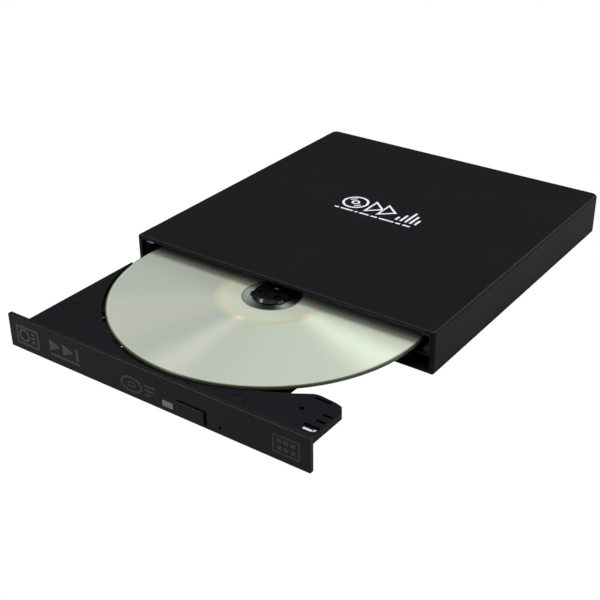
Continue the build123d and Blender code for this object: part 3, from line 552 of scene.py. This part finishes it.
def make_floor():
    """A plain pale floor: pure white to the eye, softer in what it reflects onto the drive."""
    data = bpy.data.meshes.new("floor")
    half, depth = 3.0, -0.02 * MM
    corners = [(x * half, y * half, depth) for x, y in ((-1, -1), (1, -1), (1, 1), (-1, 1))]
    data.from_pydata(corners, [], [(0, 1, 2, 3)])
    floor = bpy.data.objects.new("floor", data)
    bpy.context.scene.collection.objects.link(floor)
    made = Finish("floor", Roughness=0.9)
    grain = made.noise(0.12)
    made.feed("Base Color", made.blend(grain, (0.36, 0.36, 0.36, 1), (0.39, 0.39, 0.39, 1)))
    paper = made.add("ShaderNodeEmission", {"Color": WHITE, "Strength": 1.0}).outputs[0]
    seen = made.add("ShaderNodeLightPath").outputs["Is Camera Ray"]
    lit = made.add("ShaderNodeMixShader", {0: seen, 1: made.shader.outputs[0], 2: paper})
    beneath = made.add("ShaderNodeNewGeometry").outputs["Backfacing"]
    clear = made.add("ShaderNodeBsdfTransparent").outputs[0]
    result = made.add("ShaderNodeMixShader", {0: beneath, 1: lit.outputs[0], 2: clear})
    output = made.tree.nodes["Material Output"]
    made.tree.links.new(result.outputs[0], output.inputs["Surface"])
    data.materials.append(made.material)


def make_sky():
    """White to the eye; its light is dim up to about 24 degrees and bright from about 38."""
    world = bpy.data.worlds.new("sky")
    world.use_nodes = True
    tree = world.node_tree
    tree.nodes.clear()
    heading = add_node(tree, "ShaderNodeTexCoord").outputs["Generated"]
    height = add_node(tree, "ShaderNodeSeparateXYZ", {"Vector": heading}).outputs["Z"]
    dim, bright = 0.06, 0.32
    glow = add_node(
        tree, "ShaderNodeMapRange",
        {"Value": height, "From Min": 0.41, "From Max": 0.62, "To Min": dim, "To Max": bright},
        interpolation_type="SMOOTHSTEP").outputs["Result"]
    light = {"Color": (0.97, 0.99, 1.0, 1), "Strength": glow}
    lighting = add_node(tree, "ShaderNodeBackground", light).outputs[0]
    white = add_node(tree, "ShaderNodeBackground", {"Color": WHITE, "Strength": 1.0}).outputs[0]
    seen = add_node(tree, "ShaderNodeLightPath").outputs["Is Camera Ray"]
    mixed = add_node(tree, "ShaderNodeMixShader", {0: seen, 1: lighting, 2: white}).outputs[0]
    add_node(tree, "ShaderNodeOutputWorld", {"Surface": mixed})
    bpy.context.scene.world = world


def make_lights():
    """Soft lamps: one overhead, two that catch the upper edges and the disc, one at the right."""
    target, reach = Vector((0, 0, 0.01)), 0.9
    # name, heading, width, height, watts, colour
    lamps = (
        ("overhead", (0.08, -0.12, 1.1), 0.5, 0.4, 6.4, (1, 1, 1)),
        ("back_right", (0.488, 0.708, 0.51), 0.5, 0.32, 2.0, (0.93, 0.98, 1.0)),
        ("front_left", (-0.51, -0.488, 0.708), 0.4, 0.3, 2.3, (1, 1, 1)),
        ("right", (0.85, -0.5, 0.25), 0.4, 0.3, 0.6, (0.72, 0.95, 1.0)),
    )
    for name, heading, width, height, watts, colour in lamps:
        lamp = bpy.data.lights.new(name, "AREA")
        lamp.shape = "RECTANGLE"
        lamp.size, lamp.size_y = width, height
        lamp.energy = watts
        lamp.color = colour
        holder = bpy.data.objects.new(name, lamp)
        bpy.context.scene.collection.objects.link(holder)
        place = Vector(heading) * reach
        turned = (target - place).to_track_quat("-Z", "Y").to_matrix().to_4x4()
        holder.matrix_world = Matrix.Translation(place) @ turned


finishes = make_finishes()
in_mouth, whole_guide = 8 * MM, 90 * MM
# The chassis pan, cover and right guide carry painted shade in the mouth of the case
dress_nodes(finishes, {
    "chassis_pan": mouth_shade_sheet(
        "pan_front", "chassis_pan", in_mouth, ("LESS_THAN", -59.8 * MM, 14.0 * MM)),
    "chassis_cover": mouth_shade_sheet("cover_front", "chassis_cover", in_mouth),
    "right_guide": mouth_shade_sheet(
        "guide_front", "right_guide", whole_guide, ("GREATER_THAN", 0.0, 9.2 * MM)),
})
print_lid_mark(ink_and_painted_highlight("white_ink", srgb(236, 238, 242), srgb(206, 208, 214)))
print_bezel_marks({
    "bright": ink_and_painted_highlight("grey_ink", srgb(72, 78, 82), srgb(60, 66, 70)),
    "violet": ink_and_painted_highlight("violet_grey_ink", srgb(62, 60, 66), srgb(52, 50, 56)),
    "faint": ink_and_painted_highlight("faint_ink", srgb(45, 50, 54), srgb(38, 42, 46)),
})
# Painted highlight: pale bars where the wing shows a bright highlight
paint_wing_highlight(ink_and_painted_highlight("pale_painted_highlight", srgb(214, 216, 218), srgb(186, 188, 190)))
make_camera()
make_floor()
make_sky()
make_lights()
bpy.context.scene.view_settings.view_transform = "Standard"
